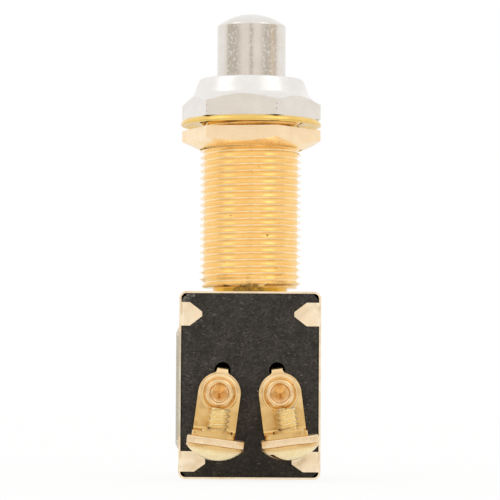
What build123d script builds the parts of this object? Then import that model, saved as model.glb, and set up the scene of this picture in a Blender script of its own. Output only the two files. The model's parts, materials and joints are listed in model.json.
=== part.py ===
from build123d import *
from math import cos, radians, sin, tan
import os

# Momentary pushbutton switch: a threaded brass stem staked into a drawn brass case,
# with a black fibre board that carries two screw terminals across the open front.
# Millimetres. The origin is the centre of the case's bottom face, under the stem.
# +Z runs up the button, -Y is the terminal side.

# Fits
running_gap = 0.08
thread_gap = 0.05
loose_gap = 0.15
seat_gap = 0.05
washer_gap = 0.02

# Case of drawn sheet, open at the front
case_width = 21.7
case_depth = 17.5
case_height = 28.7
sheet = 0.3
case_corner = 1.1
bulge = 0.48
bulge_run = 0.9
bulge_length = 19.2
bulge_width = 15.4
bulge_drop = 0.5

# Pointed tabs that hold the board
tab_bend = 0.4
tab_tip_width = 0.7
upper_tab_width = 3.6
upper_tab_height = 25.2
upper_tab_reach = {"left": 3.5, "right": 4.1}
upper_tab_point = 1.9
lower_tab_width = 3.1
lower_tab_height = 2.7
lower_tab_reach = {"left": 4.1, "right": 4.4}
lower_tab_point = 1.7

# Fibre board and liner
board_thickness = 1.6
board_corner_cut = 0.9
board_edge_round = 0.35
liner_thickness = 0.4
liner_end_gap = 1.2

# Threaded stem
stem_diameter = 15.88
stem_end_gap = 0.3
neck_diameter = 11.66
neck_height = 0.75
stem_end_diameter = 14.7
stem_end_chamfer = 0.6
shank_diameter = 10.0
stake_diameter = 11.8
stake_height = 0.95
spring_seat_height = 36.0

# Nuts and washer
across_flats = 19.05
hex_turn = 50.8
face_nut_bottom = 55.8
face_nut_height = 6.35
cone_top_diameter = 16.25
cone_top_round = 0.5
cone_base_diameter = 18.0
cone_base_height = 3.95
shoulder_middle_diameter = 19.25
shoulder_middle_height = 3.22
hex_corner_height = 2.3
face_nut_lip = 2.25
back_nut_height = 3.05
back_nut_gap = 1.6
back_nut_chamfer_diameter = 16.05
back_nut_chamfer_height = 1.35
washer_thickness = 0.3
washer_overhang = 0.03
washer_flat_diameter = 19.2
washer_slope = 27
washer_bend = 0.8

# Button and plunger
button_diameter = 10.78
button_bottom = 50.0
button_shoulder = 70.6
dome_height = 1.9
button_edge_round = 0.5
button_travel = 4.0
rod_diameter = 4.0
rod_bottom = 20.1
rod_socket = 7.0
clip_groove_depth = 0.5
clip_thickness = 0.6
retaining_clip_diameter = 6.8
end_clip_diameter = 5.4
clip_mouth = 2.6
stop_washer_thickness = 0.5
stop_washer_diameter = 9.0

# Springs
return_wire = 0.8
return_coil = 8.0
return_turns = 6
contact_wire = 0.4
contact_coil = 5.5
contact_turns = 3
points_per_turn = 16
wire_sides = 8

# Moving contact and its insulators
bridge_diameter = 13.2
bridge_thickness = 0.8
insulator_flange = 0.6
upper_insulator_diameter = 8.4
insulator_sleeve_diameter = 5.6
lower_insulator_diameter = 5.8

# Terminals
terminal_thickness = 0.8
terminal_width = 6.5
terminal_spacing = 9.26
terminal_splay = 7.5
rivet_height = 13.1
tongue_width = 1.7
tongue_rise = 4.0
tongue_bend = 0.1
tongue_root_round = 0.6
tongue_end = 1.2
board_slot_diameter = 2.42
flange_drop = 5.85
flange_bend = 0.6
flange_length = 9.0
flange_corner = 1.0
screw_distance = 5.75
screw_shift = 0.45
tapped_collar_height = 0.35
tapped_collar_diameter = 4.7

# Rivets and contact tips
rivet_diameter = 3.4
rivet_bore = 2.76
rivet_bore_depth = 1.5
rivet_point = 0.7
rivet_roll_diameter = 4.45
rivet_roll_height = 0.35
rivet_head_diameter = 4.8
rivet_head_height = 0.8
rivet_washer_thickness = 0.5
rivet_washer_diameter = 5.4
coined_ring_diameter = 5.6
coined_ring_depth = 0.2
coined_ring_slope = 60
tip_diameter = 1.5
tip_height = 0.5
tip_shank_diameter = 0.9
tip_tail_height = 0.2

# Clamp washers and screws
clamp_size = 8.6
clamp_thickness = 1.1
clamp_corner_cut = 1.25
screw_diameter = 3.5
screw_length = 5.55
screw_end_chamfer = 0.3
head_diameter = 8.7
head_rim = 0.45
head_dome = 1.9
slot_width = 1.0
slot_depth = 1.3
slot_turns = {"left": -6, "right": 35}

# Places that follow from the sizes above
board_front = -case_depth / 2
board_back = board_front + board_thickness
stem_bottom = case_height + neck_height
stem_top = face_nut_bottom + face_nut_height - face_nut_lip - stem_end_gap
stake_bottom = case_height - sheet - stake_height
hex_corner_diameter = across_flats / cos(radians(30))
washer_diameter = hex_corner_diameter + 2 * washer_overhang
thread_hole = stem_diameter + 2 * thread_gap
button_bore = button_diameter + 2 * running_gap
rod_bore = rod_diameter + 2 * running_gap
back_nut_top = face_nut_bottom - back_nut_gap
groove_diameter = rod_diameter - 2 * clip_groove_depth
stop_washer_bottom = stake_bottom - seat_gap - stop_washer_thickness
retaining_clip_bottom = stop_washer_bottom - clip_thickness
tongue_top = rivet_height + tongue_rise * cos(radians(terminal_splay))
bridge_bottom = tongue_top + tip_height + seat_gap + button_travel
bridge_top = bridge_bottom + bridge_thickness
end_clip_bottom = bridge_bottom - insulator_flange - clip_thickness
screw_head_level = flange_drop + terminal_thickness + clamp_thickness
sides = {"left": -1, "right": 1}


def save(piece, label):
    piece.part.label = label
    export_step(piece.part, f"parts/{label}.step")


def dome_radius(diameter, height):
    """Radius of the sphere whose cap has this diameter and height."""
    return ((diameter / 2) ** 2 + height**2) / (2 * height)


def terminal_plane(side):
    """Face of the board at one rivet: x across the terminal, y up it, z towards the viewer."""
    splay = radians(terminal_splay)
    return Plane(
        origin=(side * terminal_spacing / 2, board_front, rivet_height),
        x_dir=(cos(splay), 0, side * sin(splay)),
        z_dir=(0, -1, 0),
    )


def screw_plane(side):
    """Seat of one screw's head, with z up the screw and x across the terminal."""
    plate = terminal_plane(side)
    seat = plate.from_local_coords(Vector(screw_shift, -screw_head_level, screw_distance))
    return Plane(origin=seat, x_dir=plate.x_dir, z_dir=plate.y_dir)


def tip_plane(side):
    """Top of the inner tongue at its contact, beside the stem's axis."""
    plate = terminal_plane(side)
    seat = plate.from_local_coords(Vector(0, tongue_rise, board_front))
    return Plane(origin=seat, x_dir=plate.x_dir, z_dir=plate.y_dir)


def case_tab(side, width, height, reach, point):
    """One tab: the side wall's sheet, bent over the board and cut to a point."""
    wall = side * (case_width - sheet) / 2
    bend = tab_bend + sheet / 2
    tip = side * (case_width / 2 - reach)
    with BuildPart() as tab:
        with BuildSketch(Plane.XY.offset(height - width / 2)):
            with BuildLine():
                Line((wall, board_front + case_corner), (wall, board_front + tab_bend))
                RadiusArc(
                    (wall, board_front + tab_bend),
                    (wall - side * bend, board_front - sheet / 2),
                    side * bend,
                )
                Line((wall - side * bend, board_front - sheet / 2), (tip, board_front - sheet / 2))
            trace(line_width=sheet)
        extrude(amount=width)
        with BuildSketch(Plane.XZ.offset(case_depth / 2 - case_corner)):
            with BuildLine():
                Polyline(
                    (side * case_width / 2, height - width / 2),
                    (tip + side * point, height - width / 2),
                    (tip, height - tab_tip_width / 2),
                    (tip, height + tab_tip_width / 2),
                    (tip + side * point, height + width / 2),
                    (side * case_width / 2, height + width / 2),
                    close=True,
                )
            make_face()
        extrude(amount=case_corner + sheet, mode=Mode.INTERSECT)
    return tab


def bulge_solid(inset):
    """Shallow pad on the left wall; the inset gives the hollow behind it."""
    outer = Plane.YZ.offset(-case_width / 2 + inset)
    middle = case_height / 2 - bulge_drop
    with BuildPart() as pad:
        with BuildSketch(outer):
            with Locations((0, middle)):
                RectangleRounded(bulge_width - inset, bulge_length - inset, 2 * bulge_run)
        with BuildSketch(outer.offset(-bulge)):
            with Locations((0, middle)):
                RectangleRounded(
                    bulge_width - inset - 2 * bulge_run,
                    bulge_length - inset - 2 * bulge_run,
                    bulge_run,
                )
        loft()
    return pad


def coil(wire, diameter, turns, bottom, top):
    """Compression spring, its wire in short straight runs with mitred corners."""
    rise = (top - bottom - wire) / turns
    steps = [step / points_per_turn for step in range(turns * points_per_turn + 1)]
    with BuildPart() as spring:
        with BuildLine() as path:
            Polyline(
                *[
                    (
                        diameter / 2 * cos(radians(360 * turn)),
                        diameter / 2 * sin(radians(360 * turn)),
                        bottom + wire / 2 + rise * turn,
                    )
                    for turn in steps
                ]
            )
        with BuildSketch(Plane(origin=path.line @ 0, z_dir=path.line % 0)):
            RegularPolygon(wire / 2, wire_sides)
        sweep(path=path.line, transition=Transition.RIGHT)
    return spring


def ring(outer, inner, bottom, height):
    """Flat round washer on the stem's axis."""
    with BuildPart() as washer:
        with BuildSketch(Plane.XY.offset(bottom)):
            Circle(outer / 2)
            Circle(inner / 2, mode=Mode.SUBTRACT)
        extrude(amount=height)
    return washer


def snap_clip(diameter, bottom):
    """Clip that snaps into a groove of the rod from the side."""
    with BuildPart() as clip:
        with BuildSketch(Plane.XY.offset(bottom)):
            Circle(diameter / 2)
            Circle(groove_diameter / 2, mode=Mode.SUBTRACT)
            with Locations((0, diameter / 2)):
                Rectangle(clip_mouth, diameter, mode=Mode.SUBTRACT)
        extrude(amount=clip_thickness)
    return clip


def make_case():
    tabs = []
    for name, side in sides.items():
        upper_reach = upper_tab_reach[name]
        lower_reach = lower_tab_reach[name]
        tabs.append(case_tab(side, upper_tab_width, upper_tab_height, upper_reach, upper_tab_point))
        tabs.append(case_tab(side, lower_tab_width, lower_tab_height, lower_reach, lower_tab_point))
    pad = bulge_solid(0)
    hollow = bulge_solid(sheet)
    with BuildPart() as case:
        with BuildSketch(Plane.XZ.offset(-case_depth / 2)):
            with Locations((0, case_height / 2)):
                RectangleRounded(case_width, case_height, case_corner)
        extrude(amount=case_depth)
        fillet(case.faces().sort_by(Axis.Y)[-1].edges(), case_corner)
        offset(amount=-sheet, openings=case.faces().sort_by(Axis.Y)[0])
        add(pad.part)
        add(hollow.part, mode=Mode.SUBTRACT)
        for tab in tabs:
            add(tab.part)
        with BuildSketch(Plane.XY.offset(case_height)):
            Circle(shank_diameter / 2 + seat_gap)
        extrude(amount=-2 * sheet, mode=Mode.SUBTRACT)
    return case


def make_board():
    inside_width = case_width - 2 * sheet - 2 * seat_gap
    inside_height = case_height - 2 * sheet - 2 * seat_gap
    with BuildPart() as board:
        with BuildSketch(Plane.XZ.offset(-board_back)) as face:
            with Locations((0, case_height / 2)):
                Rectangle(inside_width, inside_height)
            chamfer(face.vertices(), board_corner_cut)
        extrude(amount=board_thickness)
        front = board.faces().sort_by(Axis.Y)[0]
        fillet(front.edges().filter_by(Axis.Z), board_edge_round)
        for side in sides.values():
            with BuildSketch(terminal_plane(side)):
                Circle(rivet_diameter / 2 + seat_gap)
                with Locations((0, tongue_rise - terminal_thickness / 2)):
                    Circle(board_slot_diameter / 2)
            extrude(amount=-board_thickness, mode=Mode.SUBTRACT)
    return board


def make_liner():
    width = case_width - 2 * sheet - 2 * seat_gap
    back = case_depth / 2 - sheet - seat_gap
    front = board_back + seat_gap
    with BuildPart() as liner:
        with BuildSketch(Plane.XY.offset(liner_end_gap)):
            with BuildLine():
                FilletPolyline(
                    (-(width - liner_thickness) / 2, front),
                    (-(width - liner_thickness) / 2, back - liner_thickness / 2),
                    ((width - liner_thickness) / 2, back - liner_thickness / 2),
                    ((width - liner_thickness) / 2, front),
                    radius=case_corner,
                )
            trace(line_width=liner_thickness)
        extrude(amount=case_height - 2 * liner_end_gap)
    return liner


def make_bushing():
    with BuildPart() as bushing:
        with BuildSketch(Plane.XZ):
            with BuildLine():
                Polyline(
                    (rod_bore / 2, stake_bottom),
                    (stake_diameter / 2, stake_bottom),
                    (stake_diameter / 2, case_height - sheet),
                    (shank_diameter / 2, case_height - sheet),
                    (shank_diameter / 2, case_height),
                    (neck_diameter / 2, case_height),
                    (neck_diameter / 2, stem_bottom),
                    (stem_end_diameter / 2, stem_bottom),
                    (stem_diameter / 2, stem_bottom + stem_end_chamfer),
                    (stem_diameter / 2, stem_top - stem_end_chamfer),
                    (stem_end_diameter / 2, stem_top),
                    (button_bore / 2, stem_top),
                    (button_bore / 2, spring_seat_height),
                    (rod_bore / 2, spring_seat_height),
                    close=True,
                )
            make_face()
        revolve(axis=Axis.Z)
    return bushing


def make_face_nut():
    top = face_nut_bottom + face_nut_height
    beyond = hex_corner_diameter / 2 + loose_gap
    with BuildPart() as nut:
        with BuildSketch(Plane.XY.offset(face_nut_bottom)):
            RegularPolygon(across_flats / 2, 6, major_radius=False, rotation=hex_turn)
        extrude(amount=face_nut_height)
        with BuildSketch(Plane.XZ) as outline:
            with BuildLine():
                Polyline(
                    (cone_base_diameter / 2, face_nut_bottom + cone_base_height),
                    (cone_top_diameter / 2, top),
                    (0, top),
                    (0, face_nut_bottom),
                    (beyond, face_nut_bottom),
                    (beyond, face_nut_bottom + hex_corner_height),
                )
                ThreePointArc(
                    (beyond, face_nut_bottom + hex_corner_height),
                    (shoulder_middle_diameter / 2, face_nut_bottom + shoulder_middle_height),
                    (cone_base_diameter / 2, face_nut_bottom + cone_base_height),
                )
            make_face()
            rim = outline.vertices().sort_by_distance((cone_top_diameter / 2, top, 0))[0]
            fillet(rim, cone_top_round)
        revolve(axis=Axis.Z, mode=Mode.INTERSECT)
        with BuildSketch(Plane.XY.offset(face_nut_bottom)):
            Circle(thread_hole / 2)
        extrude(amount=face_nut_height - face_nut_lip, mode=Mode.SUBTRACT)
        with BuildSketch(Plane.XY.offset(face_nut_bottom)):
            Circle(button_diameter / 2 + loose_gap)
        extrude(amount=face_nut_height, mode=Mode.SUBTRACT)
    return nut


def make_back_nut():
    bottom = back_nut_top - back_nut_height
    with BuildPart() as nut:
        with BuildSketch(Plane.XY.offset(bottom)):
            RegularPolygon(across_flats / 2, 6, major_radius=False, rotation=hex_turn)
        extrude(amount=back_nut_height)
        with BuildSketch(Plane.XZ):
            with BuildLine():
                Polyline(
                    (0, bottom),
                    (back_nut_chamfer_diameter / 2, bottom),
                    (hex_corner_diameter / 2, bottom + back_nut_chamfer_height),
                    (hex_corner_diameter / 2, back_nut_top),
                    (0, back_nut_top),
                    close=True,
                )
            make_face()
        revolve(axis=Axis.Z, mode=Mode.INTERSECT)
        with BuildSketch(Plane.XY.offset(bottom)):
            Circle(thread_hole / 2)
        extrude(amount=back_nut_height, mode=Mode.SUBTRACT)
    return nut


def make_spring_washer():
    """Domed washer: flat under the face nut, then sloping down to its rim."""
    middle = face_nut_bottom - washer_gap - washer_thickness / 2
    slope = radians(washer_slope)
    flat_end = washer_flat_diameter / 2
    rim = washer_diameter / 2 - washer_thickness / 2 * sin(slope)
    with BuildPart() as washer:
        with BuildSketch(Plane.XZ):
            with BuildLine():
                FilletPolyline(
                    (thread_hole / 2 + running_gap, middle),
                    (flat_end, middle),
                    (rim, middle - (rim - flat_end) * tan(slope)),
                    radius=washer_bend,
                )
            trace(line_width=washer_thickness)
        revolve(axis=Axis.Z)
    return washer


def make_button():
    radius = button_diameter / 2
    with BuildPart() as button:
        with BuildSketch(Plane.XZ) as outline:
            with BuildLine():
                Polyline(
                    (0, button_shoulder + dome_height),
                    (0, button_bottom + rod_socket),
                    (rod_diameter / 2, button_bottom + rod_socket),
                    (rod_diameter / 2, button_bottom),
                    (radius, button_bottom),
                    (radius, button_shoulder),
                )
                RadiusArc(
                    (radius, button_shoulder),
                    (0, button_shoulder + dome_height),
                    -dome_radius(button_diameter, dome_height),
                )
            make_face()
            fillet(outline.vertices().sort_by_distance((radius, button_shoulder, 0))[0], button_edge_round)
        revolve(axis=Axis.Z)
    return button


def make_rod():
    with BuildPart() as rod:
        with BuildSketch(Plane.XY.offset(rod_bottom)):
            Circle(rod_diameter / 2)
        extrude(amount=button_bottom + rod_socket - rod_bottom)
        chamfer(rod.faces().sort_by(Axis.Z)[0].edges(), clip_groove_depth / 2)
        for bottom in (end_clip_bottom, retaining_clip_bottom):
            with BuildSketch(Plane.XY.offset(bottom)):
                Circle(rod_diameter / 2)
                Circle(groove_diameter / 2, mode=Mode.SUBTRACT)
            extrude(amount=clip_thickness, mode=Mode.SUBTRACT)
    return rod


def make_upper_insulator():
    with BuildPart() as insulator:
        with BuildSketch(Plane.XZ):
            with BuildLine():
                Polyline(
                    (rod_bore / 2, bridge_bottom),
                    (insulator_sleeve_diameter / 2, bridge_bottom),
                    (insulator_sleeve_diameter / 2, bridge_top),
                    (upper_insulator_diameter / 2, bridge_top),
                    (upper_insulator_diameter / 2, bridge_top + insulator_flange),
                    (rod_bore / 2, bridge_top + insulator_flange),
                    close=True,
                )
            make_face()
        revolve(axis=Axis.Z)
    return insulator


def make_terminal(side):
    """One stamped strip: inner tongue, rounded plate and the flange for the screw."""
    plate = terminal_plane(side)
    profile = Plane(origin=plate.origin, x_dir=plate.z_dir, z_dir=plate.x_dir)
    middle = terminal_thickness / 2
    tongue = tongue_rise - middle
    tongue_arc = tongue_bend + middle
    flange = -flange_drop - middle
    flange_arc = flange_bend + middle
    tongue_depth = -board_front + tongue_end
    with BuildPart() as terminal:
        with BuildSketch(profile):
            with BuildLine():
                FilletPolyline(
                    (-tongue_depth, -tongue),
                    (middle, -tongue),
                    (middle, -flange),
                    (flange_length, -flange),
                    radius=(tongue_arc, flange_arc),
                )
            trace(line_width=terminal_thickness)
        extrude(amount=terminal_width / 2, both=True)
        with BuildSketch(plate.offset(-tongue_depth)) as outline:
            Circle(terminal_width / 2)
            with Locations((0, -screw_head_level / 2)):
                Rectangle(terminal_width, screw_head_level)
            with Locations((0, tongue_rise / 2)):
                Rectangle(tongue_width, tongue_rise)
            root = (0, terminal_width / 2, 0)
            fillet(outline.vertices().sort_by_distance(root)[0:2], tongue_root_round)
        extrude(amount=tongue_depth + flange_length, mode=Mode.INTERSECT)
        corners = terminal.edges().filter_by(Axis(plate.origin, plate.y_dir)).sort_by(Axis.Y)[0:2]
        fillet(corners, flange_corner)
        with BuildSketch(screw_plane(side).offset(clamp_thickness + terminal_thickness)):
            Circle(tapped_collar_diameter / 2)
        extrude(amount=tapped_collar_height)
        with BuildSketch(screw_plane(side).offset(clamp_thickness)):
            Circle(screw_diameter / 2 + thread_gap)
        extrude(amount=terminal_thickness + tapped_collar_height, mode=Mode.SUBTRACT)
        with BuildSketch(plate):
            Circle(rivet_diameter / 2 + seat_gap)
        extrude(amount=terminal_thickness, mode=Mode.SUBTRACT)
        with BuildSketch(plate.offset(terminal_thickness)):
            Circle(coined_ring_diameter / 2)
        extrude(amount=-coined_ring_depth, taper=coined_ring_slope, mode=Mode.SUBTRACT)
        with BuildSketch(tip_plane(side)):
            Circle(tip_shank_diameter / 2)
        extrude(amount=-terminal_thickness, mode=Mode.SUBTRACT)
    return terminal


def make_tip(side):
    seat = tip_plane(side)
    profile = Plane(origin=seat.origin, x_dir=seat.x_dir, z_dir=-seat.y_dir)
    tail = -terminal_thickness
    with BuildPart() as tip:
        with BuildSketch(profile):
            with BuildLine():
                Polyline(
                    (0, tip_height),
                    (0, tail - tip_tail_height),
                    (tip_diameter / 2, tail - tip_tail_height),
                    (tip_diameter / 2, tail),
                    (tip_shank_diameter / 2, tail),
                    (tip_shank_diameter / 2, 0),
                    (tip_diameter / 2, 0),
                )
                RadiusArc((tip_diameter / 2, 0), (0, tip_height), -dome_radius(tip_diameter, tip_height))
            make_face()
        revolve(axis=Axis(seat.origin, seat.z_dir))
    return tip


def make_rivet(side):
    """Semi-tubular rivet, its hollow end rolled over the terminal."""
    plate = terminal_plane(side)
    profile = Plane(origin=plate.origin, x_dir=plate.x_dir, z_dir=-plate.y_dir)
    front = terminal_thickness - coined_ring_depth
    crest = terminal_thickness + rivet_roll_height
    head = -board_thickness - rivet_washer_thickness
    crest_radius = (rivet_bore + rivet_roll_diameter) / 4
    with BuildPart() as rivet:
        with BuildSketch(profile):
            with BuildLine():
                Polyline(
                    (0, front - rivet_bore_depth - rivet_point),
                    (0, head - rivet_head_height),
                    (rivet_head_diameter / 2, head - rivet_head_height),
                    (rivet_head_diameter / 2, head),
                    (rivet_diameter / 2, head),
                    (rivet_diameter / 2, front),
                    (rivet_roll_diameter / 2, front),
                )
                ThreePointArc(
                    (rivet_roll_diameter / 2, front),
                    (crest_radius, crest),
                    (rivet_bore / 2, front),
                )
                Polyline(
                    (rivet_bore / 2, front),
                    (rivet_bore / 2, front - rivet_bore_depth),
                    (0, front - rivet_bore_depth - rivet_point),
                )
            make_face()
        revolve(axis=Axis(plate.origin, plate.z_dir))
    return rivet


def make_rivet_washer(side):
    with BuildPart() as washer:
        with BuildSketch(terminal_plane(side).offset(-board_thickness)):
            Circle(rivet_washer_diameter / 2)
            Circle(rivet_diameter / 2 + seat_gap, mode=Mode.SUBTRACT)
        extrude(amount=-rivet_washer_thickness)
    return washer


def make_clamp_washer(side):
    with BuildPart() as clamp:
        with BuildSketch(screw_plane(side)) as outline:
            Rectangle(clamp_size, clamp_size)
            chamfer(outline.vertices(), clamp_corner_cut)
            Circle(screw_diameter / 2 + loose_gap, mode=Mode.SUBTRACT)
        extrude(amount=clamp_thickness)
    return clamp


def make_screw(side, slot_turn):
    seat = screw_plane(side)
    profile = Plane(origin=seat.origin, x_dir=seat.x_dir, z_dir=-seat.y_dir)
    slot_floor = head_rim + head_dome - slot_depth
    with BuildPart() as screw:
        with BuildSketch(profile):
            with BuildLine():
                Polyline(
                    (0, -head_rim - head_dome),
                    (0, screw_length),
                    (screw_diameter / 2, screw_length),
                    (screw_diameter / 2, 0),
                    (head_diameter / 2, 0),
                    (head_diameter / 2, -head_rim),
                )
                RadiusArc(
                    (head_diameter / 2, -head_rim),
                    (0, -head_rim - head_dome),
                    dome_radius(head_diameter, head_dome),
                )
            make_face()
        revolve(axis=Axis(seat.origin, seat.z_dir))
        chamfer(screw.edges().sort_by(Axis(seat.origin, seat.z_dir))[-1], screw_end_chamfer)
        with BuildSketch(seat.offset(-slot_floor)):
            Rectangle(slot_width, 2 * head_diameter, rotation=slot_turn)
        extrude(amount=-slot_depth, mode=Mode.SUBTRACT)
    return screw


os.makedirs("parts", exist_ok=True)

save(make_case(), "case")
save(make_board(), "terminal_board")
save(make_liner(), "case_liner")
save(make_bushing(), "bushing")
save(make_face_nut(), "face_nut")
save(make_spring_washer(), "spring_washer")
save(make_back_nut(), "back_nut")
save(make_button(), "button")
save(make_rod(), "plunger_rod")
save(coil(return_wire, return_coil, return_turns, spring_seat_height, button_bottom), "return_spring")
save(ring(stop_washer_diameter, rod_bore, stop_washer_bottom, stop_washer_thickness), "stop_washer")
save(snap_clip(retaining_clip_diameter, retaining_clip_bottom), "retaining_clip")
save(
    coil(contact_wire, contact_coil, contact_turns, bridge_top + insulator_flange, retaining_clip_bottom),
    "contact_spring",
)
save(make_upper_insulator(), "upper_insulator")
save(
    ring(bridge_diameter, insulator_sleeve_diameter + 2 * seat_gap, bridge_bottom, bridge_thickness),
    "contact_bridge",
)
save(
    ring(lower_insulator_diameter, rod_bore, bridge_bottom - insulator_flange, insulator_flange),
    "lower_insulator",
)
save(snap_clip(end_clip_diameter, end_clip_bottom), "end_clip")

for name, side in sides.items():
    save(make_terminal(side), f"terminal_{name}")
    save(make_tip(side), f"contact_tip_{name}")
    save(make_rivet(side), f"rivet_{name}")
    save(make_rivet_washer(side), f"rivet_washer_{name}")
    save(make_clamp_washer(side), f"clamp_washer_{name}")
    save(make_screw(side, slot_turns[name]), f"terminal_screw_{name}")
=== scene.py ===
import json
import math

import bpy
from mathutils import Matrix, Vector


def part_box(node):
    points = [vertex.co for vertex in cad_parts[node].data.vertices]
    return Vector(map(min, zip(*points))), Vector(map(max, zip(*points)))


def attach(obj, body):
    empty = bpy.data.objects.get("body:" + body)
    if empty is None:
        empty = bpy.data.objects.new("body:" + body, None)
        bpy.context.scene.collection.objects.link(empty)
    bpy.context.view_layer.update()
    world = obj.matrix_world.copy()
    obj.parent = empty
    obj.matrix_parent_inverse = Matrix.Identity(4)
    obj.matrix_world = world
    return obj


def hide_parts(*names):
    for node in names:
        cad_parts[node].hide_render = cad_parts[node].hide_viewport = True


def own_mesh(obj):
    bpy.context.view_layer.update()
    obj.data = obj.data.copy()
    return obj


# Pushbutton switch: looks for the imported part. Metres, in the part's own frame:
# the origin is under the stem, +Z runs up the button and -Y is the terminal side.

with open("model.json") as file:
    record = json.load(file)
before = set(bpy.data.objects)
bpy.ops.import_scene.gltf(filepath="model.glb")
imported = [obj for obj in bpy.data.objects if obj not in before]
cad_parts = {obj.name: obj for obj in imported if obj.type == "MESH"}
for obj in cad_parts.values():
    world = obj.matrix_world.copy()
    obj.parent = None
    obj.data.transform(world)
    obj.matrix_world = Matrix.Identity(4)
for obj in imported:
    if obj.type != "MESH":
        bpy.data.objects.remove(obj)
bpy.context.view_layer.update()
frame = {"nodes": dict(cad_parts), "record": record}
nodes = frame["nodes"]

MM = 0.001

# Camera, as the photograph has it; angles are in degrees
IMAGE_PIXELS = 500
FOCAL_PIXELS = 2554
SENSOR_WIDTH = 36.0
VIEW_DISTANCE = 0.4
VIEW_AZIMUTH = -0.3
VIEW_ELEVATION = -2.75
VIEW_ROLL = 0.35
VIEW_TARGET = Vector((-0.05 * MM, 0, 35.457 * MM))
CLIP_START = 0.01
CLIP_END = 10

# Stem and its thread
STEM_RADIUS = 7.94 * MM
STEM_PITCH = 25.4 / 24 * MM
STEM_END_RADIUS = 7.35 * MM
STEM_END_CHAMFER = 0.6 * MM
STEM_COLUMNS = 144
STEM_CREASE = 38
NECK_RADIUS = 5.83 * MM
NECK_HEIGHT = 0.75 * MM
SHANK_RADIUS = 5.0 * MM
STAKE_RADIUS = 5.9 * MM
CASE_SHEET = 0.3 * MM
BUTTON_BORE_RADIUS = 5.47 * MM
ROD_BORE_RADIUS = 2.08 * MM
SPRING_SEAT = 36.0 * MM

# Thread form over one turn, as shares of the pitch: how far along, and how deep below the crest
THREAD_FORM = (
    (0.0, 0.022),
    (0.011, 0.006),
    (0.024, 0.0),
    (0.037, 0.006),
    (0.048, 0.022),
    (0.413, 0.58),
    (0.524, 0.6134),
    (0.635, 0.58),
)
# How far a thread is moved up its axis, as a share of its pitch
THREAD_PHASE = -0.29

# Washer under the face nut
WASHER_HOLE = 8.02 * MM
WASHER_SHEET = 0.35 * MM
WASHER_COLUMNS = 144
WASHER_CREASE = 40
# Its outline in millimetres: how far in from the rim, and how far down from the top,
# up from the bottom, or down from the underside of the flat part
WASHER_TOP = ((0.75, 0.0), (0.50, 0.04), (0.30, 0.14), (0.14, 0.36))
WASHER_RIM = ((0.02, 0.34), (0.0, 0.24), (0.06, 0.06), (0.18, 0.0), (0.32, 0.08))
WASHER_UNDER = ((0.65, 0.22), (1.10, 0.0))

# Terminal screws
SCREW_RADIUS = 1.75 * MM
SCREW_PITCH = 25.4 / 32 * MM
SCREW_LENGTH = 5.55 * MM
SCREW_END_CHAMFER = 0.3 * MM
SCREW_COLUMNS = 64
SCREW_CREASE = 35
HEAD_RADIUS = 4.34 * MM
HEAD_HOLE = SCREW_RADIUS / 2
HEAD_RIM = 0.45 * MM
HEAD_DOME = 1.9 * MM
HEAD_EDGE = 0.12 * MM
HEAD_COLUMNS = 96
DOME_STEPS = 14
SLOT_WIDTH = 1.0 * MM
SLOT_DEPTH = 1.3 * MM
SLOT_TURNS = {"left": -6, "right": 35}
CLAMP_THICKNESS = 1.1 * MM
SIDES = {"left": -1, "right": 1}

# Springs
RETURN_WIRE = 0.8 * MM
RETURN_TURNS = 6
CONTACT_WIRE = 0.4 * MM
CONTACT_TURNS = 3
SPRING_STEPS = 48
SPRING_CREASE = 50
WIRE_SIDES = 16

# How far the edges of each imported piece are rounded
EDGE_ROUNDS = {
    "case": 0.06 * MM,
    "terminal_board": 0.1 * MM,
    "terminal_left": 0.18 * MM,
    "terminal_right": 0.18 * MM,
    "clamp_washer_left": 0.18 * MM,
    "clamp_washer_right": 0.18 * MM,
    "back_nut": 0.06 * MM,
    "face_nut": 0.06 * MM,
}
# Points nearer than this are one, faces flatter than this are one, and edges sharper than this are rounded
MERGE_DISTANCE = 0.001 * MM
FLAT_ANGLE = 0.4
ROUND_ANGLE = 32
ROUND_SEGMENTS = 2
NORMAL_WEIGHT = 60

# Ring pressed into the plates around each rivet, in millimetres
RING_RADIUS = 2.6
RING_WIDTH = 0.36
RING_DEPTH = 0.12

# Painted amber reflection on the rim of a screw's head, in millimetres below its seat: where it fades in and
# where it fades out
RIM_IN = (-0.1, -0.02)
RIM_OUT = (0.5, 0.95)

# Where the case's walls begin behind its front edge, in millimetres along Y
WALL_IN = (-8.3, -7.5)
# Front edge of the left wall between its tabs, in millimetres: its place along X, its middle and half height
LEFT_OUT = (-10.4, -10.3)
LEFT_MIDDLE = 14.4
LEFT_HALF = (7.6, 8.2)

# How far tool marks stretch along each axis
AROUND = (14, 14, 0.5)
EVEN = (1, 1, 1)
ALONG_Z = (0.6, 0.6, 9)

# Parts of a noise's range over which tarnish, tool marks and roughness go from none to full
CLOUD_RANGE = (0.35, 0.68)
GRAIN_RANGE = (0.35, 0.7)
ROUGH_RANGE = (0.3, 0.7)
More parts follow.
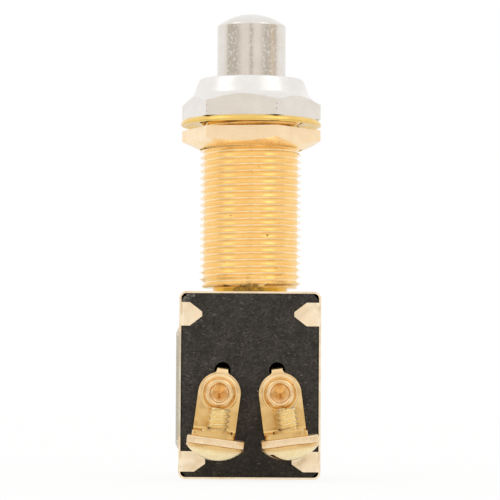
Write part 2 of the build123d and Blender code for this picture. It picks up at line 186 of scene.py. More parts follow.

# Stains and wear, as (x, y, z, size) in millimetres. The stem's last eight marks, round its neck, are
# painted shade.
STEM_STAINS_AND_NECK_SHADE = (
    (-3.1, -7.2, 40.3, 0.13),
    (2.6, -7.4, 37.3, 0.16),
    (-6.6, -4.3, 35.2, 0.12),
    (-5.7, -5.4, 44.4, 0.10),
    (0.2, -7.9, 47.0, 0.08),
    (1.2, -7.8, 48.0, 0.07),
    # Painted shade: dark marks round the stem's neck, where the case top shades it
    (-2.0, -5.6, 28.9, 0.5),
    (-1.1, -5.8, 28.9, 0.6),
    (-0.2, -5.9, 28.9, 0.6),
    (0.7, -5.9, 28.9, 0.6),
    (1.5, -5.7, 28.9, 0.5),
    (-1.2, -7.3, 29.4, 0.4),
    (-0.3, -7.4, 29.5, 0.45),
    (0.7, -7.3, 29.4, 0.4),
)
NUT_MARKS = (
    (-6.95, -8.5, 57.3, 0.10),
    (-6.95, -8.5, 56.4, 0.08),
    (3.9, -10.3, 57.5, 0.08),
    (3.9, -10.3, 56.7, 0.10),
)
BUTTON_MARKS = ((-1.6, -2.3, 72.1, 0.13),)
FRAYED_CORNER = ((-9.7, -8.75, 27.8, 0.4), (-8.9, -8.75, 28.2, 0.25), (-10.2, -8.75, 27.1, 0.25))

# Floor
FLOOR_SIDE = 0.6
FLOOR_FRONT = -0.38
FLOOR_BACK = 0.6
FLOOR_DROP = 0.02 * MM
FLOOR_TONE = (0.9, 0.9, 0.9)
FLOOR_CLOUD = (0.92, 0.92, 0.91)
# How much of its white shows plainly, so that its shadow stays soft
FLOOR_GLOW = 0.86

# Room at the object's own height. Turns are in degrees from straight ahead, right positive:
# where a thing fades in, is full, is full to, and ends.
ROOM_TONE = (1.03, 1.02, 1.0)
FRONT_TONE = (0.96, 0.90, 0.82)
DARK_TONE = (0.66, 0.61, 0.54)
WARM_TONE = (0.85, 0.70, 0.54)
ROOM_THINGS = {
    "front wall": ((-106, -94, 97, 110), FRONT_TONE),
    "left screen": ((-94, -85, -52, -30), DARK_TONE),
    "camera": ((-12, -1, -1, 10), DARK_TONE),
    "right screen": ((24, 48, 85, 97), DARK_TONE),
    "warm board": ((63, 75, 75, 85), WARM_TONE),
}
# Ceiling, and the room under the table's front edge: heights in degrees
CEILING_TONE = (1.04, 1.04, 1.03)
CEILING_IN = (14, 32)
BELOW_TONE = (0.88, 0.78, 0.62)
BELOW_OUT = (-1.2, -0.1)

# Soft lights high on both sides: turn and height, and how much brighter than the room they are.
# Core and edge are how far from their middle they are full and end.
SOFT_LIGHTS = ((-68, 47, 0.52), (54, 47, 0.52))
SOFT_CORE = 3
SOFT_EDGE = 21

# Lamps inside the soft lights, by turn
LAMP_TURNS = {"left_box": -69, "right_box": 55}
LAMP_HEIGHT = 47
LAMP_DISTANCE = 0.5
LAMP_SIZE = 0.16
LAMP_WATTS = 0.01


# Meshes


def new_object(name, vertices, faces):
    mesh = bpy.data.meshes.new(name)
    mesh.from_pydata([tuple(v) for v in vertices], [], faces)
    mesh.validate()
    made = bpy.data.objects.new(name, mesh)
    bpy.context.scene.collection.objects.link(made)
    return made


def modifier(target, kind, **settings):
    made = target.modifiers.new(kind.title(), kind)
    for key, value in settings.items():
        setattr(made, key, value)
    return made


def apply_modifiers(target):
    bpy.context.view_layer.update()
    evaluated = target.evaluated_get(bpy.context.evaluated_depsgraph_get())
    mesh = bpy.data.meshes.new_from_object(evaluated)
    target.modifiers.clear()
    target.data = mesh


def merge_close(target, distance=1e-7):
    modifier(target, "WELD", merge_threshold=distance)
    apply_modifiers(target)


def shade(target, angle):
    """Smooth shading, with edges sharper than the angle in degrees left sharp."""
    target.data.shade_smooth()
    target.data.set_sharp_from_angle(angle=math.radians(angle))


def flatten(rings):
    return [point for ring in rings for point in ring]


def turned_rings(outline, columns):
    """Rings of points about Z, one for each (radius, height) of the outline."""
    turns = [2 * math.pi * column / columns for column in range(columns)]
    return [[(r * math.cos(t), r * math.sin(t), z) for t in turns] for r, z in outline]


def skin(rings, closed):
    """Faces between rings of equal length; closed joins the last ring to the first."""
    count = len(rings)
    columns = len(rings[0])
    faces = []
    for row in range(count if closed else count - 1):
        here = row * columns
        above = (row + 1) % count * columns
        for column in range(columns):
            beside = (column + 1) % columns
            faces.append((here + column, here + beside, above + beside, above + column))
    return faces


def thread_rings(radius, pitch, bottom, top, limit, columns):
    """Rings that climb one pitch a turn, cut off square at the ends and kept under limit(height)."""
    rings = []
    turns = math.ceil((top - bottom) / pitch) + 1
    for turn in range(-1, turns):
        for along, depth in THREAD_FORM:
            ring = []
            for column in range(columns):
                share = column / columns
                height = bottom + pitch * (turn + along + share + THREAD_PHASE)
                height = min(max(height, bottom), top)
                reach = min(radius - depth * pitch, limit(height))
                angle = 2 * math.pi * share
                ring.append((reach * math.cos(angle), reach * math.sin(angle), height))
            rings.append(ring)
    return rings


def thread_faces(rings):
    """Faces between climbing rings, where the last column meets the first one turn higher."""
    columns = len(rings[0])
    step = len(THREAD_FORM)
    faces = []
    for row in range(len(rings) - 1):
        for column in range(columns - 1):
            first = row * columns + column
            faces.append((first, first + 1, first + columns + 1, first + columns))
        if row + step + 1 < len(rings):
            last = row * columns + columns - 1
            over = (row + step) * columns
            faces.append((last, over, over + columns, last + columns))
    return faces


def threaded_piece(name, radius, pitch, bottom, top, limit, columns, rest):
    """A threaded length closed by a turned outline that runs from its top end to its bottom end."""
    rings = thread_rings(radius, pitch, bottom, top, limit, columns)
    vertices = flatten(rings)
    faces = thread_faces(rings)
    body = turned_rings(rest, columns)
    start = len(vertices)
    vertices += flatten(body)
    faces += [tuple(start + index for index in face) for face in skin(body, False)]
    made = new_object(name, vertices, faces)
    merge_close(made)
    return made


def chamfered(bottom, top, end_radius, full_radius, chamfer):
    """Largest radius at a height, for a length with a chamfer at each end."""

    def limit(height):
        inward = min(height - bottom, top - height)
        return end_radius + (full_radius - end_radius) * min(inward / chamfer, 1)

    return limit


def make_stem():
    low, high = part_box("bushing")
    stake_bottom = low.z
    top = high.z
    case_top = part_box("case")[1].z
    bottom = case_top + NECK_HEIGHT
    limit = chamfered(bottom, top, STEM_END_RADIUS, STEM_RADIUS, STEM_END_CHAMFER)
    rest = [
        (STEM_END_RADIUS, top),
        (BUTTON_BORE_RADIUS, top),
        (BUTTON_BORE_RADIUS, SPRING_SEAT),
        (ROD_BORE_RADIUS, SPRING_SEAT),
        (ROD_BORE_RADIUS, stake_bottom),
        (STAKE_RADIUS, stake_bottom),
        (STAKE_RADIUS, case_top - CASE_SHEET),
        (SHANK_RADIUS, case_top - CASE_SHEET),
        (SHANK_RADIUS, case_top),
        (NECK_RADIUS, case_top),
        (NECK_RADIUS, bottom),
        (STEM_END_RADIUS, bottom),
    ]
    stem = threaded_piece("stem", STEM_RADIUS, STEM_PITCH, bottom, top, limit, STEM_COLUMNS, rest)
    shade(stem, STEM_CREASE)
    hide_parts("bushing")
    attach(stem, "housing")
    return stem


def make_washer():
    """Domed washer whose top runs on under the nut's corners before it turns down to its rim."""
    low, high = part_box("spring_washer")
    rim = high.y
    underside = high.z - WASHER_SHEET
    outline = [(WASHER_HOLE, high.z)]
    outline += [(rim - inward * MM, high.z - down * MM) for inward, down in WASHER_TOP]
    outline += [(rim - inward * MM, low.z + up * MM) for inward, up in WASHER_RIM]
    outline += [(rim - inward * MM, underside - down * MM) for inward, down in WASHER_UNDER]
    outline.append((WASHER_HOLE, underside))
    rings = turned_rings(outline, WASHER_COLUMNS)
    washer = new_object("dress_washer", flatten(rings), skin(rings, True))
    shade(washer, WASHER_CREASE)
    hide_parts("spring_washer")
    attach(washer, "housing")
    return washer


def terminal_seat(side):
    """Where a screw's head seats, in metres, and the way from there to the head."""
    mounts = {mount["name"]: mount for mount in frame["record"]["mounts"]}
    mount = mounts[f"terminal_{side}"]
    down = Vector(mount["axis"]).normalized()
    return Vector(mount["pos_m"]) + down * CLAMP_THICKNESS, down


def dome_outline():
    """Quarter outline of the domed head that hangs below its seat, from the rim to short of the pole."""
    sphere = (HEAD_RADIUS**2 + HEAD_DOME**2) / (2 * HEAD_DOME)
    half = math.asin(HEAD_RADIUS / sphere)
    outline = []
    for step in range(DOME_STEPS):
        angle = half * (1 - step / DOME_STEPS)
        height = -HEAD_RIM - HEAD_DOME + sphere * (1 - math.cos(angle))
        outline.append((sphere * math.sin(angle), height))
    return outline


def cut_slot(head, turn):
    """Cuts the driver's slot across the domed side of a head."""
    length = 2 * HEAD_RADIUS
    floor = -HEAD_RIM - HEAD_DOME + SLOT_DEPTH
    depth = 2 * SLOT_DEPTH
    corners = [
        (x * length, y * SLOT_WIDTH / 2, floor - z * depth)
        for z in (0, 1)
        for y in (-1, 1)
        for x in (-1, 1)
    ]
    quads = [(0, 1, 3, 2), (4, 6, 7, 5), (0, 4, 5, 1), (2, 3, 7, 6), (0, 2, 6, 4), (1, 5, 7, 3)]
    cutter = new_object("slot_cutter", corners, quads)
    cutter.rotation_euler.z = math.radians(turn)
    modifier(head, "BOOLEAN", operation="DIFFERENCE", object=cutter, solver="EXACT")
    apply_modifiers(head)
    bpy.data.objects.remove(cutter)


def make_head(name, turn):
    """Domed head below its seat at z 0, with its slot turned by so many degrees."""
    outline = [(HEAD_HOLE, 0), (HEAD_RADIUS - HEAD_EDGE, 0), (HEAD_RADIUS, -HEAD_EDGE)]
    outline += dome_outline()
    outline.append((0, -HEAD_RIM - HEAD_DOME))
    rings = turned_rings(outline, HEAD_COLUMNS)
    head = new_object(name, flatten(rings), skin(rings, False))
    merge_close(head)
    cut_slot(head, turn)
    return head


def join(target, other):
    """Adds another object's mesh to the target's and removes the other object."""
    offset = len(target.data.vertices)
    vertices = [v.co.copy() for v in target.data.vertices] + [v.co.copy() for v in other.data.vertices]
    faces = [tuple(p.vertices) for p in target.data.polygons]
    faces += [tuple(offset + v for v in p.vertices) for p in other.data.polygons]
    mesh = bpy.data.meshes.new(target.name)
    mesh.from_pydata(vertices, [], faces)
    target.data = mesh
    bpy.data.objects.remove(other)


def make_screw(name, turn):
    """Slotted screw with its seat at z 0, its thread above and its domed head below."""
    end_radius = SCREW_RADIUS - SCREW_END_CHAMFER
    limit = chamfered(-SCREW_RADIUS, SCREW_LENGTH, end_radius, SCREW_RADIUS, SCREW_END_CHAMFER)
    rest = [(end_radius, SCREW_LENGTH), (0, SCREW_LENGTH)]
    screw = threaded_piece(name, SCREW_RADIUS, SCREW_PITCH, 0.0, SCREW_LENGTH, limit, SCREW_COLUMNS, rest)
    join(screw, make_head(name + "_head", turn))
    return screw


def place_screw(side):
    seat, down = terminal_seat(side)
    up = -down
    across = Vector((0, 1, 0)).cross(up).normalized()
    inward = up.cross(across)
    turn = Matrix((across, inward, up)).transposed().to_4x4()
    name = f"screw_{side}"
    screw = make_screw(name, SLOT_TURNS[side])
    screw.data.transform(Matrix.Translation(seat) @ turn)
    shade(screw, SCREW_CREASE)
    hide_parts(f"terminal_screw_{side}")
    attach(screw, name)
    return screw


def make_spring(name, node, body, wire, turns):
    """Round wire in an even coil, as long and as wide as the node that it stands for."""
    low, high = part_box(node)
    middle = (low + high) / 2
    radius = (high.y - low.y - wire) / 2
    start = low.z + wire / 2
    rise = high.z - low.z - wire
    count = turns * SPRING_STEPS
    up = Vector((0, 0, 1))
    rings = []
    for step in range(count + 1):
        turn = 2 * math.pi * turns * step / count
        outward = Vector((math.cos(turn), math.sin(turn), 0))
        centre = Vector((middle.x, middle.y, start + rise * step / count)) + radius * outward
        ring = []
        for side in range(WIRE_SIDES):
            angle = 2 * math.pi * side / WIRE_SIDES
            ring.append(centre + wire / 2 * (math.cos(angle) * outward + math.sin(angle) * up))
        rings.append(ring)
    faces = skin(rings, False)
    faces.append(tuple(range(WIRE_SIDES)))
    faces.append(tuple(count * WIRE_SIDES + side for side in reversed(range(WIRE_SIDES))))
    spring = new_object(name, flatten(rings), faces)
    shade(spring, SPRING_CREASE)
    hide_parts(node)
    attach(spring, body)
    return spring


def make_springs():
    """The two coils, the button's on the housing and the bridge's on the plunger, each with a mesh of its
    own.
    """
    returner = make_spring("button_spring", "return_spring", "housing", RETURN_WIRE, RETURN_TURNS)
    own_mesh(returner)
    presser = make_spring("bridge_spring", "contact_spring", "plunger", CONTACT_WIRE, CONTACT_TURNS)
    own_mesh(presser)
    return returner, presser


def round_edges(node, width):
    """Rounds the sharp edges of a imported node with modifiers, which leave its own mesh alone."""
    modifier(node, "WELD", merge_threshold=MERGE_DISTANCE)
    modifier(node, "DECIMATE", decimate_type="DISSOLVE", angle_limit=math.radians(FLAT_ANGLE))
    modifier(
        node,
        "BEVEL",
        width=width,
        segments=ROUND_SEGMENTS,
        limit_method="ANGLE",
        angle_limit=math.radians(ROUND_ANGLE),
        use_clamp_overlap=True,
        miter_outer="MITER_ARC",
    )
    modifier(node, "WEIGHTED_NORMAL", keep_sharp=False, weight=NORMAL_WEIGHT)


# Shader nodes


def shader_node(tree, kind, inputs=None, **settings):
    """Adds a node; an input is given as a value or as another node's socket."""
    made = tree.nodes.new(kind)
    for key, value in settings.items():
        setattr(made, key, value)
    for key, value in (inputs or {}).items():
        if isinstance(value, bpy.types.NodeSocket):
            tree.links.new(value, made.inputs[key])
        else:
            made.inputs[key].default_value = value
    return made


def maths(tree, operation, first, second=0.0):
    return shader_node(tree, "ShaderNodeMath", {0: first, 1: second}, operation=operation).outputs[0]


def vector_maths(tree, operation, first, second, result="Value"):
    inputs = {0: first, 1: second}
    return shader_node(tree, "ShaderNodeVectorMath", inputs, operation=operation).outputs[result]


def axes(tree, vector):
    """The X, Y and Z of a vector, by name."""
    return shader_node(tree, "ShaderNodeSeparateXYZ", {"Vector": vector}).outputs


def spread(tree, value, span, to_low=0.0, to_high=1.0, kind="LINEAR"):
    """Goes from to_low to to_high while the value goes over the span, and stays level outside it."""
    low, high = span
    inputs = {"Value": value, "From Min": low, "From Max": high, "To Min": to_low, "To Max": to_high}
    return shader_node(tree, "ShaderNodeMapRange", inputs, interpolation_type=kind).outputs["Result"]


def noise(tree, vector, scale, detail=4.0, roughness=0.5, distortion=0.0):
    inputs = {
        "Vector": vector,
        "Scale": scale,
        "Detail": detail,
        "Roughness": roughness,
        "Distortion": distortion,
    }
    return shader_node(tree, "ShaderNodeTexNoise", inputs).outputs["Fac"]


def blend_colours(tree, share, first, second):
    made = tree.nodes.new("ShaderNodeMix")
    made.data_type = "RGBA"
    if isinstance(share, bpy.types.NodeSocket):
        tree.links.new(share, made.inputs[0])
    else:
        made.inputs[0].default_value = share
    for colour, socket in ((first, made.inputs[6]), (second, made.inputs[7])):
        if isinstance(colour, bpy.types.NodeSocket):
            tree.links.new(colour, socket)
        else:
            socket.default_value = (*colour, 1)
    return made.outputs[2]


def bump(tree, height, distance, below=None, strength=1.0):
    """Relief so many millimetres high, on top of the relief below it."""
    inputs = {"Height": height, "Distance": distance * MM, "Strength": strength}
    if below is not None:
        inputs["Normal"] = below
    return shader_node(tree, "ShaderNodeBump", inputs).outputs["Normal"]


def millimetres(tree, stretch=EVEN):
    """The piece's own coordinates in millimetres, each axis divided by how far marks stretch along it."""
    coordinates = shader_node(tree, "ShaderNodeTexCoord").outputs["Object"]
    scale = tuple(1 / (MM * along) for along in stretch)
    return shader_node(tree, "ShaderNodeMapping", {"Vector": coordinates, "Scale": scale}).outputs["Vector"]


# Materials


def new_material(name, metallic, base):
    material = bpy.data.materials.new(name)
    material.use_nodes = True
    tree = material.node_tree
    shader = tree.nodes["Principled BSDF"]
    shader.inputs["Metallic"].default_value = metallic
    material.diffuse_color = (*base, 1)
    return material, tree, shader


def spots(tree, place, marks):
    """One where the surface lies within a mark, fading to none at twice the mark's size."""
    found = 0.0
    for x, y, z, size in marks:
        away = vector_maths(tree, "DISTANCE", place, (x, y, z))
        found = maths(tree, "MAXIMUM", found, spread(tree, away, (size, 2 * size), 1.0, 0.0))
    return found


def ring_height(tree, place, across, up):
    """One along a circle in the XZ plane, falling to none on both sides of it."""
    parts = axes(tree, place)
    flat = shader_node(tree, "ShaderNodeCombineXYZ", {"X": parts["X"], "Z": parts["Z"]}).outputs[0]
    away = vector_maths(tree, "DISTANCE", flat, (across, 0, up))
    off = maths(tree, "ABSOLUTE", maths(tree, "SUBTRACT", away, RING_RADIUS))
    return spread(tree, off, (0.0, RING_WIDTH), 1.0, 0.0, "SMOOTHSTEP")


def head_rim_reflections(tree, place):
    """One on the rim of each screw's head, where an amber reflection is painted, falling to none where its
    dome begins.
    """
    across = axes(tree, place)["X"]
    found = 0.0
    for side, sign in SIDES.items():
        seat, down = terminal_seat(side)
        along = vector_maths(tree, "DOT_PRODUCT", place, down)
        below = maths(tree, "SUBTRACT", along, seat.dot(down) / MM)
        share = spread(tree, below, RIM_OUT, 1.0, 0.0)
        share = maths(tree, "MULTIPLY", share, spread(tree, below, RIM_IN))
        own = maths(tree, "GREATER_THAN", maths(tree, "MULTIPLY", across, float(sign)))
        found = maths(tree, "MAXIMUM", found, maths(tree, "MULTIPLY", share, own))
    return found


def metal_relief(tree, place, grain, depth, dents, waves, rings):
    relief = bump(tree, grain, depth)
    if dents:
        pocks = noise(tree, millimetres(tree, (1, 1, 1.3)), 3.1, 4.0, 0.7)
        relief = bump(tree, spread(tree, pocks, (0.57, 0.72)), dents, relief)
    if waves:
        relief = bump(tree, noise(tree, place, 0.3, 1.0, 0.4), waves, relief)
    for across, up in rings:
        relief = bump(tree, ring_height(tree, place, across, up), RING_DEPTH, relief)
    return relief


def metal(
    name,
    bright,
    dull,
    rough,
    clouds,
    tooling,
    metallic=1.0,
    dents=0.0,
    waves=0.0,
    rings=(),
    deep=None,
    rim=None,
    stain_and_shade=None,
    marks=(),
):
    """Worked metal: clouds of tarnish, tool marks, dents, waves, pressed rings, stains and painted light.

    rough is the roughness where the clouds are thin and where they are thick, and clouds is their scale.
    tooling is the tool marks' stretch, scale and depth. deep is a colour, the height below which it is
    full, and how far it fades above: painted shade on the stem's neck, a painted reflection on the back
    nut's lower chamfer, and a darkening towards the bottom of the plates. rim is a painted amber reflection
    on the screw heads' rims. marks are stains, and painted shade round the stem's neck. Rings are pressed
    around (x, z). Lengths are in millimetres.
    """
    material, tree, shader = new_material(name, metallic, bright)
    place = millimetres(tree)
    stretch, scale, depth = tooling
    cloud = noise(tree, place, clouds, 5.0, 0.6)
    grain = noise(tree, millimetres(tree, stretch), scale, 3.0, 0.6)
    colour = blend_colours(tree, spread(tree, cloud, CLOUD_RANGE), bright, dull)
    colour = blend_colours(tree, spread(tree, grain, GRAIN_RANGE, 0.0, 0.4), colour, dull)
    # A colour below a height: painted shade on the stem's neck, a painted reflection on the back nut's
    # chamfer, a darkening on the plates' lower part
    if deep:
        tone, below, fade = deep
        share = spread(tree, axes(tree, place)["Z"], (below, below + fade), 1.0, 0.0)
        colour = blend_colours(tree, share, colour, tone)
    # Painted amber reflection on the rims of the screw heads
    if rim:
        colour = blend_colours(tree, head_rim_reflections(tree, place), colour, rim)
    # Stains; on the stem's neck these marks are painted shade
    if marks:
        ragged = spread(tree, noise(tree, place, 2.5, 4.0, 0.7), (0.3, 0.6), 0.2, 1.0)
        stained_or_shaded = maths(tree, "MULTIPLY", spots(tree, place, marks), ragged)
        colour = blend_colours(tree, stained_or_shaded, colour, stain_and_shade)
    tree.links.new(colour, shader.inputs["Base Color"])
    tree.links.new(spread(tree, cloud, ROUGH_RANGE, *rough), shader.inputs["Roughness"])
    relief = metal_relief(tree, place, grain, depth, dents, waves, rings)
    tree.links.new(relief, shader.inputs["Normal"])
    return material


def left_edge(tree, parts):
    """One on the front edge of the left wall between its tabs, where the sheet takes the walls' greyer
    colour.
    """
    outside = spread(tree, parts["X"], LEFT_OUT, 1.0, 0.0)
    height = maths(tree, "ABSOLUTE", maths(tree, "SUBTRACT", parts["Z"], LEFT_MIDDLE))
    return maths(tree, "MULTIPLY", outside, spread(tree, height, LEFT_HALF, 1.0, 0.0))


def case_metal(name, bright, dull, wall):
    """Drawn sheet: bright on its tabs and front edge, darker and greyer in a mottle on the outer walls."""
    material, tree, shader = new_material(name, 1.0, bright)
    place = millimetres(tree)
    parts = axes(tree, place)
    cloud = noise(tree, place, 0.5, 5.0, 0.6)
    grain = noise(tree, millimetres(tree, ALONG_Z), 4.0, 3.0, 0.6)
    colour = blend_colours(tree, spread(tree, cloud, CLOUD_RANGE), bright, dull)
    behind = maths(tree, "MAXIMUM", spread(tree, parts["Y"], WALL_IN), left_edge(tree, parts))
    wall_mottle = spread(tree, noise(tree, place, 0.22, 6.0, 0.55), (0.3, 0.65), 0.75, 1.0)
    colour = blend_colours(tree, maths(tree, "MULTIPLY", behind, wall_mottle), colour, wall)
    colour = blend_colours(tree, spread(tree, grain, GRAIN_RANGE, 0.0, 0.35), colour, dull)
    tree.links.new(colour, shader.inputs["Base Color"])
    tree.links.new(spread(tree, cloud, ROUGH_RANGE, 0.22, 0.34), shader.inputs["Roughness"])
    relief = bump(tree, grain, 0.004)
    relief = bump(tree, noise(tree, place, 0.28, 1.0, 0.4), 0.7, relief)
    tree.links.new(relief, shader.inputs["Normal"])
    return material


def fibre(name, base, pale, fleck, frayed=()):
    """Pressed fibre: matt and finely mottled, with pale flecks and hairs, and paler where it is frayed."""
    material, tree, shader = new_material(name, 0.0, base)
    place = millimetres(tree)
    cloud = noise(tree, place, 0.35, 4.0, 0.6)
    mottle = noise(tree, place, 2.6, 4.0, 0.75)
    hairs = noise(tree, millimetres(tree, (2.2, 1, 0.7)), 4.2, 3.0, 0.75, 0.8)
    colour = blend_colours(tree, spread(tree, mottle, (0.36, 0.66)), base, pale)
    dark = tuple(0.75 * channel for channel in base)
    colour = blend_colours(tree, spread(tree, cloud, (0.35, 0.65), 0.0, 0.6), colour, dark)
    colour = blend_colours(tree, spread(tree, hairs, (0.62, 0.72), 0.0, 0.9), colour, fleck)
    if frayed:
        torn = maths(tree, "MULTIPLY", spots(tree, place, frayed), spread(tree, mottle, (0.4, 0.55)))
        colour = blend_colours(tree, torn, colour, tuple(0.5 * channel for channel in fleck))
    tree.links.new(colour, shader.inputs["Base Color"])
    shader.inputs["Specular IOR Level"].default_value = 0.12
    tree.links.new(spread(tree, mottle, ROUGH_RANGE, 0.55, 0.8), shader.inputs["Roughness"])
    tree.links.new(bump(tree, mottle, 0.05, strength=0.6), shader.inputs["Normal"])
    return material


RIVETS = [((low + high) / 2 / MM).xz for low, high in map(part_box, ("rivet_left", "rivet_right"))]

METALS = {
    "stem_brass": {
        "bright": (1.0, 0.79, 0.46),
        "dull": (0.98, 0.73, 0.38),
        "rough": (0.08, 0.15),
        "clouds": 0.5,
        "tooling": (AROUND, 2.0, 0.001),
        "metallic": 0.94,
        # Painted shade: darker amber round the stem's neck, where the case top shades it
        "deep": ((0.80, 0.44, 0.05), 29.3, 0.5),
        # Dark brown, for the stem's stains and for painted shade round its neck
        "stain_and_shade": (0.22, 0.13, 0.03),
        "marks": STEM_STAINS_AND_NECK_SHADE,
    },
    "nut_nickel": {
        "bright": (0.85, 0.83, 0.81),
        "dull": (0.79, 0.76, 0.73),
        "rough": (0.24, 0.34),
        "clouds": 0.4,
        "tooling": (AROUND, 1.7, 0.008),
        "stain_and_shade": (0.45, 0.40, 0.34),
        "marks": NUT_MARKS,
    },
    "button_nickel": {
        "bright": (0.77, 0.74, 0.71),
        "dull": (0.72, 0.68, 0.64),
        "rough": (0.04, 0.08),
        "clouds": 0.4,
        "tooling": (AROUND, 1.2, 0.008),
        "dents": 0.03,
        "stain_and_shade": (0.20, 0.18, 0.16),
        "marks": BUTTON_MARKS,
    },
    "nut_brass": {
        "bright": (1.0, 0.81, 0.56),
        "dull": (0.97, 0.76, 0.50),
        "rough": (0.20, 0.30),
        "clouds": 0.5,
        "tooling": (AROUND, 1.7, 0.006),
        "metallic": 0.8,
        # Painted reflection: a deeper orange on the back nut's lower chamfer, for the thread reflected in it
        "deep": ((1.0, 0.76, 0.40), 51.5, 0.6),
    },
    "washer_brass": {
        "bright": (0.90, 0.63, 0.20),
        "dull": (0.82, 0.54, 0.14),
        "rough": (0.14, 0.24),
        "clouds": 0.6,
        "tooling": (AROUND, 1.6, 0.003),
        "metallic": 0.75,
    },
    "terminal_brass": {
        "bright": (0.95, 0.72, 0.42),
        "dull": (0.86, 0.60, 0.31),
        "rough": (0.14, 0.26),
        "clouds": 0.7,
        "tooling": (ALONG_Z, 3.0, 0.004),
        "waves": 0.35,
        "rings": RIVETS,
        "deep": ((0.78, 0.52, 0.21), 10.5, 4.5),
    },
    "clamp_brass": {
        "bright": (1.0, 0.80, 0.54),
        "dull": (0.88, 0.67, 0.42),
        "rough": (0.25, 0.40),
        "clouds": 0.9,
        "tooling": (EVEN, 3.0, 0.008),
    },
    "screw_brass": {
        "bright": (1.0, 0.84, 0.50),
        "dull": (0.92, 0.74, 0.39),
        "rough": (0.20, 0.32),
        "clouds": 0.8,
        "tooling": (EVEN, 3.0, 0.004),
        "metallic": 0.65,
        # Painted reflection: an amber band on the rims of the heads
        "rim": (0.82, 0.56, 0.24),
    },
    "rivet_brass": {
        "bright": (0.95, 0.71, 0.41),
        "dull": (0.82, 0.55, 0.27),
        "rough": (0.16, 0.30),
        "clouds": 0.9,
        "tooling": (EVEN, 3.0, 0.004),
    },
    "bridge_brass": {
        "bright": (0.93, 0.70, 0.40),
        "dull": (0.82, 0.56, 0.26),
        "rough": (0.25, 0.4),
        "clouds": 0.7,
        "tooling": (EVEN, 3.0, 0.004),
    },
    "contact_silver": {
        "bright": (0.90, 0.88, 0.84),
        "dull": (0.74, 0.70, 0.64),
        "rough": (0.2, 0.35),
        "clouds": 1.0,
        "tooling": (EVEN, 3.0, 0.003),
    },
    "spring_steel": {
        "bright": (0.62, 0.61, 0.60),
        "dull": (0.48, 0.46, 0.44),
        "rough": (0.25, 0.4),
        "clouds": 1.0,
        "tooling": (EVEN, 3.0, 0.003),
    },
    "rod_steel": {
        "bright": (0.70, 0.69, 0.67),
        "dull": (0.55, 0.53, 0.50),
        "rough": (0.2, 0.35),
        "clouds": 0.8,
        "tooling": (AROUND, 2.0, 0.003),
    },
}
FIBRES = {
    "board_fibre": {
        "base": (0.028, 0.025, 0.022),
        "pale": (0.085, 0.076, 0.067),
        "fleck": (0.36, 0.33, 0.29),
        "frayed": FRAYED_CORNER,
    },
    "liner_fibre": {
        "base": (0.30, 0.28, 0.24),
        "pale": (0.38, 0.35, 0.29),
        "fleck": (0.50, 0.46, 0.38),
    },
    "insulator_fibre": {
        "base": (0.24, 0.12, 0.06),
        "pale": (0.30, 0.16, 0.09),
        "fleck": (0.42, 0.28, 0.16),
    },
}
CASE = {"bright": (1.0, 0.87, 0.67), "dull": (1.0, 0.81, 0.57), "wall": (0.65, 0.61, 0.50)}


def make_materials():
    made = {name: metal(name, **finish) for name, finish in METALS.items()}
    made |= {name: fibre(name, **finish) for name, finish in FIBRES.items()}
    made["case_brass"] = case_metal("case_brass", **CASE)
    return made


def dress(target, material):
    target.data.materials.clear()
    target.data.materials.append(material)


def dress_cad_nodes(materials):
    """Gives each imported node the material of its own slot, and rounds the edges that catch light."""
    for name, node in nodes.items():
        slot = node.data.materials[0].name.split(".")[0]
        dress(node, materials[slot])
        if name in EDGE_ROUNDS:
            round_edges(node, EDGE_ROUNDS[name])


# Stage


def toward(azimuth, elevation):
    """Unit vector away from the object: azimuth from straight ahead in degrees, right positive."""
    turn = math.radians(azimuth)
    lift = math.radians(elevation)
    return Vector((math.sin(turn) * math.cos(lift), -math.cos(turn) * math.cos(lift), math.sin(lift)))


def sines(angles):
    """The heights of a unit vector that is tilted up by so many degrees."""
    return [math.sin(math.radians(angle)) for angle in angles]


def make_floor():
    side, front, back = FLOOR_SIDE, FLOOR_FRONT, FLOOR_BACK
    corners = [(-side, front, 0), (side, front, 0), (side, back, 0), (-side, back, 0)]
    floor = new_object("floor", corners, [(0, 1, 2, 3)])
    floor.location.z = -FLOOR_DROP
    material, tree, shader = new_material("floor", 0.0, FLOOR_TONE)
    colour = blend_colours(tree, noise(tree, millimetres(tree), 0.02, 2.0), FLOOR_TONE, FLOOR_CLOUD)
    tree.links.new(colour, shader.inputs["Base Color"])
    shader.inputs["Roughness"].default_value = 0.9
    shader.inputs["Specular IOR Level"].default_value = 0.1
    glow = shader_node(tree, "ShaderNodeEmission", {"Color": (1, 1, 1, 1), "Strength": 1.0}).outputs[0]
    rays = shader_node(tree, "ShaderNodeLightPath").outputs
    seen = maths(tree, "MAXIMUM", rays["Is Camera Ray"], rays["Is Glossy Ray"])
    seen = maths(tree, "MAXIMUM", seen, rays["Is Transmission Ray"])
    share = maths(tree, "MULTIPLY", seen, FLOOR_GLOW)
    mixed = shader_node(tree, "ShaderNodeMixShader", {0: share, 1: shader.outputs[0], 2: glow})
    tree.links.new(mixed.outputs[0], tree.nodes["Material Output"].inputs["Surface"])
    dress(floor, material)


def room_colour(tree, parts):
    """Colour of the room round the object, by turn."""
    turn = maths(tree, "ARCTAN2", parts["X"], maths(tree, "MULTIPLY", parts["Y"], -1.0))
    turn = maths(tree, "MULTIPLY", turn, math.degrees(1))
    colour = ROOM_TONE
    for (begins, full_from, full_to, ends), tone in ROOM_THINGS.values():
        share = spread(tree, turn, (begins, full_from))
        share = maths(tree, "MINIMUM", share, spread(tree, turn, (full_to, ends), 1.0, 0.0))
        colour = blend_colours(tree, share, colour, tone)
    return colour


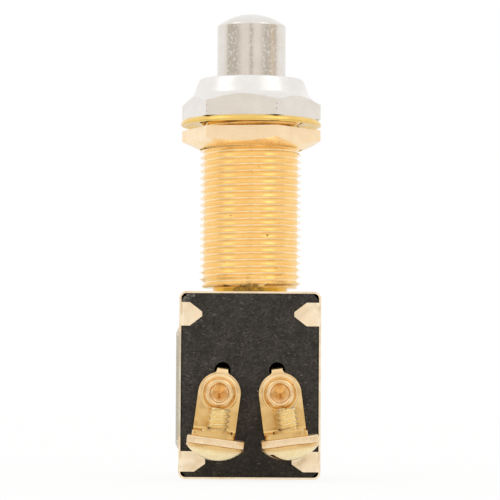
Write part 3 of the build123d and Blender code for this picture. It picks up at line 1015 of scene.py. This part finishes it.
def make_world():
    world = bpy.data.worlds.new("room")
    bpy.context.scene.world = world
    world.use_nodes = True
    tree = world.node_tree
    direction = shader_node(tree, "ShaderNodeTexCoord").outputs["Generated"]
    parts = axes(tree, direction)
    overhead = spread(tree, parts["Z"], sines(CEILING_IN))
    colour = blend_colours(tree, overhead, room_colour(tree, parts), CEILING_TONE)
    below = spread(tree, parts["Z"], sines(BELOW_OUT), 1.0, 0.0)
    colour = blend_colours(tree, below, colour, BELOW_TONE)
    near = (math.cos(math.radians(SOFT_EDGE)), math.cos(math.radians(SOFT_CORE)))
    for azimuth, elevation, strength in SOFT_LIGHTS:
        nearness = vector_maths(tree, "DOT_PRODUCT", direction, toward(azimuth, elevation))
        glow = spread(tree, nearness, near, 0.0, strength, "SMOOTHSTEP")
        colour = vector_maths(tree, "ADD", colour, glow, "Vector")
    plain = shader_node(tree, "ShaderNodeLightPath").outputs["Is Camera Ray"]
    colour = blend_colours(tree, plain, colour, (1, 1, 1))
    tree.links.new(colour, tree.nodes["Background"].inputs["Color"])


def make_lamp(name, azimuth):
    lamp = bpy.data.lights.new(name, "AREA")
    lamp.shape = "DISK"
    lamp.size = LAMP_SIZE
    lamp.energy = LAMP_WATTS
    made = bpy.data.objects.new(name, lamp)
    bpy.context.scene.collection.objects.link(made)
    away = toward(azimuth, LAMP_HEIGHT)
    made.location = VIEW_TARGET + away * LAMP_DISTANCE
    made.rotation_euler = away.to_track_quat("Z", "Y").to_euler()


def make_camera():
    camera = bpy.data.cameras.new("camera")
    camera.sensor_width = SENSOR_WIDTH
    camera.lens = FOCAL_PIXELS / IMAGE_PIXELS * SENSOR_WIDTH
    camera.clip_start = CLIP_START
    camera.clip_end = CLIP_END
    made = bpy.data.objects.new("camera", camera)
    bpy.context.scene.collection.objects.link(made)
    away = toward(VIEW_AZIMUTH, VIEW_ELEVATION)
    look = away.to_track_quat("Z", "Y").to_matrix().to_4x4()
    place = Matrix.Translation(VIEW_TARGET + away * VIEW_DISTANCE)
    made.matrix_world = place @ look @ Matrix.Rotation(math.radians(VIEW_ROLL), 4, "Z")
    bpy.context.scene.camera = made


bpy.context.scene.view_settings.view_transform = "Standard"
make_camera()
make_floor()
make_world()
for name, azimuth in LAMP_TURNS.items():
    make_lamp(name, azimuth)

materials = make_materials()
dress_cad_nodes(materials)
dress(make_stem(), materials["stem_brass"])
for side in SIDES:
    dress(place_screw(side), materials["screw_brass"])
dress(make_washer(), materials["washer_brass"])
for spring in make_springs():
    dress(spring, materials["spring_steel"])
